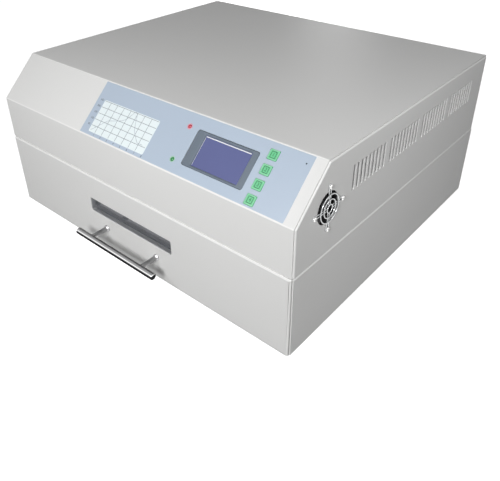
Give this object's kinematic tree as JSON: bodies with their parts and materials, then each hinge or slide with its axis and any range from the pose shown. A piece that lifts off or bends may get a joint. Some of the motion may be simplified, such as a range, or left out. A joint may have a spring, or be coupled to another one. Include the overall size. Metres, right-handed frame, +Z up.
{
  "type": "reflow oven",
  "caption": "Benchtop drawer-type infrared reflow oven: folded steel cabinet with sloping control panel, windowed drawer on ball slides, heating tubes and cooling fans.",
  "frame": {"origin": "under the feet, at the middle of the whole object's width and depth", "axes": "+X to the right seen from the front, -Y towards the drawer's handle, +Z up"},
  "size_m": [0.5772, 0.5512, 0.254],
  "materials": {
    "cabinet_paint": "fine powder coat, off-white, satin",
    "zinc_sheet": "zinc-plated sheet, dull",
    "chamber_steel": "stainless sheet, slightly heat-tinted",
    "mirror_sheet": "bright rolled aluminium",
    "steel_screws": "nickel-plated, satin",
    "wool": "compressed ceramic fibre, matt",
    "quartz": "frosted quartz",
    "resistance_wire": "oxidised heating wire",
    "ceramic": "unglazed white ceramic",
    "black_plastic": "fine moulded texture",
    "bright_wire": "bright-plated wire",
    "label_film": "printed polyester film, satin",
    "bezel_plastic": "moulded, satin grey",
    "screen": "unlit blue display under a clear window",
    "circuit_board": "solder-masked board",
    "brass": "turned",
    "red_lens": "moulded lens",
    "green_lens": "moulded lens",
    "key_green": "printed film over a dome key",
    "rocker_red": "translucent red, glossy",
    "slide_black": "black electrophoretic coat",
    "window_glass": "heat-resistant clear pane",
    "handle_chrome": "polished chrome plate",
    "heated_steel": "steel browned by heat",
    "bearer_steel": "rolled steel",
    "tray_black": "matt black high-temperature coat",
    "foot_rubber": "moulded"
  },
  "bodies": {
    "cabinet": {"base_pan": "cabinet_paint", "cover_shell": "cabinet_paint", "cover_side_left": "cabinet_paint", "cover_side_right": "cabinet_paint", "rear_panel": "cabinet_paint", "rubber_feet": "foot_rubber", "case_screws": "steel_screws", "chamber_brackets": "zinc_sheet", "chamber_liner": "chamber_steel", "chamber_insulation": "wool", "chamber_jacket": "zinc_sheet", "reflector": "mirror_sheet", "quartz_tubes": "quartz", "heating_coils": "resistance_wire", "tube_holders": "ceramic", "thermocouples": "steel_screws", "exhaust_duct": "zinc_sheet", "fan_frames": "black_plastic", "fan_guards": "bright_wire", "fan_screws": "steel_screws", "front_label": "label_film", "lcd_bezel": "bezel_plastic", "lcd_screen": "screen", "control_board": "circuit_board", "board_standoffs": "brass", "heating_light": "red_lens", "cooling_light": "green_lens", "key_switches": "black_plastic", "mains_inlet": "black_plastic", "inlet_pins": "steel_screws", "fuse_holder": "black_plastic", "power_switch_body": "black_plastic", "solid_state_relays": "black_plastic", "power_supply": "zinc_sheet", "slide_outers": "slide_black"},
    "drawer": {"drawer_front": "cabinet_paint", "drawer_front_back": "zinc_sheet", "drawer_insulation": "wool", "window_frame": "zinc_sheet", "window_pane": "window_glass", "handle_bar": "handle_chrome", "handle_posts": "handle_chrome", "handle_screws": "steel_screws", "drawer_pan": "heated_steel", "drawer_bearers": "bearer_steel", "tray_rails": "bearer_steel", "tray_plate": "tray_black", "front_ledge": "zinc_sheet", "slide_inners": "slide_black"},
    "left_slide_middle": {"slide_middle_left": "slide_black"},
    "right_slide_middle": {"slide_middle_right": "slide_black"},
    "left_fan": {"side_fan_rotor_left": "black_plastic"},
    "right_fan": {"side_fan_rotor_right": "black_plastic"},
    "exhaust_fan": {"exhaust_fan_rotor": "black_plastic"},
    "key_1": {"key_1": "key_green"},
    "key_2": {"key_2": "key_green"},
    "key_3": {"key_3": "key_green"},
    "key_4": {"key_4": "key_green"},
    "fuse_cap": {"fuse_cap": "black_plastic"},
    "power_rocker": {"power_rocker": "rocker_red"}
  },
  "joints": [
    {"name": "drawer_slide", "type": "slide", "parent": "cabinet", "child": "drawer", "axis": [0, -1, 0], "range_m": [0, 0.37]},
    {"name": "left_middle_slide", "type": "slide", "parent": "cabinet", "child": "left_slide_middle", "axis": [0, -1, 0], "range_m": [0, 0.185]},
    {"name": "right_middle_slide", "type": "slide", "parent": "cabinet", "child": "right_slide_middle", "axis": [0, -1, 0], "range_m": [0, 0.185]},
    {"name": "left_fan_spin", "type": "hinge", "parent": "cabinet", "child": "left_fan", "pos_m": [-0.2835, -0.1764, 0.1935], "axis": [-1, 0, 0], "continuous": true},
    {"name": "right_fan_spin", "type": "hinge", "parent": "cabinet", "child": "right_fan", "pos_m": [0.2835, -0.1764, 0.1935], "axis": [1, 0, 0], "continuous": true},
    {"name": "exhaust_fan_spin", "type": "hinge", "parent": "cabinet", "child": "exhaust_fan", "pos_m": [0, 0.2631, 0.1275], "axis": [0, 1, 0], "continuous": true},
    {"name": "key_1_press", "type": "slide", "parent": "cabinet", "child": "key_1", "axis": [0, 0.692, -0.7219], "range_m": [0, 0.0004], "stiffness_N_per_m": 400, "springref_m": -0.0005},
    {"name": "key_2_press", "type": "slide", "parent": "cabinet", "child": "key_2", "axis": [0, 0.692, -0.7219], "range_m": [0, 0.0004], "stiffness_N_per_m": 400, "springref_m": -0.0005},
    {"name": "key_3_press", "type": "slide", "parent": "cabinet", "child": "key_3", "axis": [0, 0.692, -0.7219], "range_m": [0, 0.0004], "stiffness_N_per_m": 400, "springref_m": -0.0005},
    {"name": "key_4_press", "type": "slide", "parent": "cabinet", "child": "key_4", "axis": [0, 0.692, -0.7219], "range_m": [0, 0.0004], "stiffness_N_per_m": 400, "springref_m": -0.0005},
    {"name": "power_rocker_tilt", "type": "hinge", "parent": "cabinet", "child": "power_rocker", "pos_m": [-0.205, 0.2621, 0.092], "axis": [0, 0, 1], "range_deg": [0, 16]},
    {"name": "fuse_cap_turn", "type": "hinge", "parent": "cabinet", "child": "fuse_cap", "pos_m": [-0.159, 0.2646, 0.05], "axis": [0, 1, 0], "range_deg": [0, 60]}
  ],
  "couplings": [
    {"joint": "left_middle_slide", "follows": "drawer_slide", "ratio": 0.5},
    {"joint": "right_middle_slide", "follows": "drawer_slide", "ratio": 0.5}
  ]
}
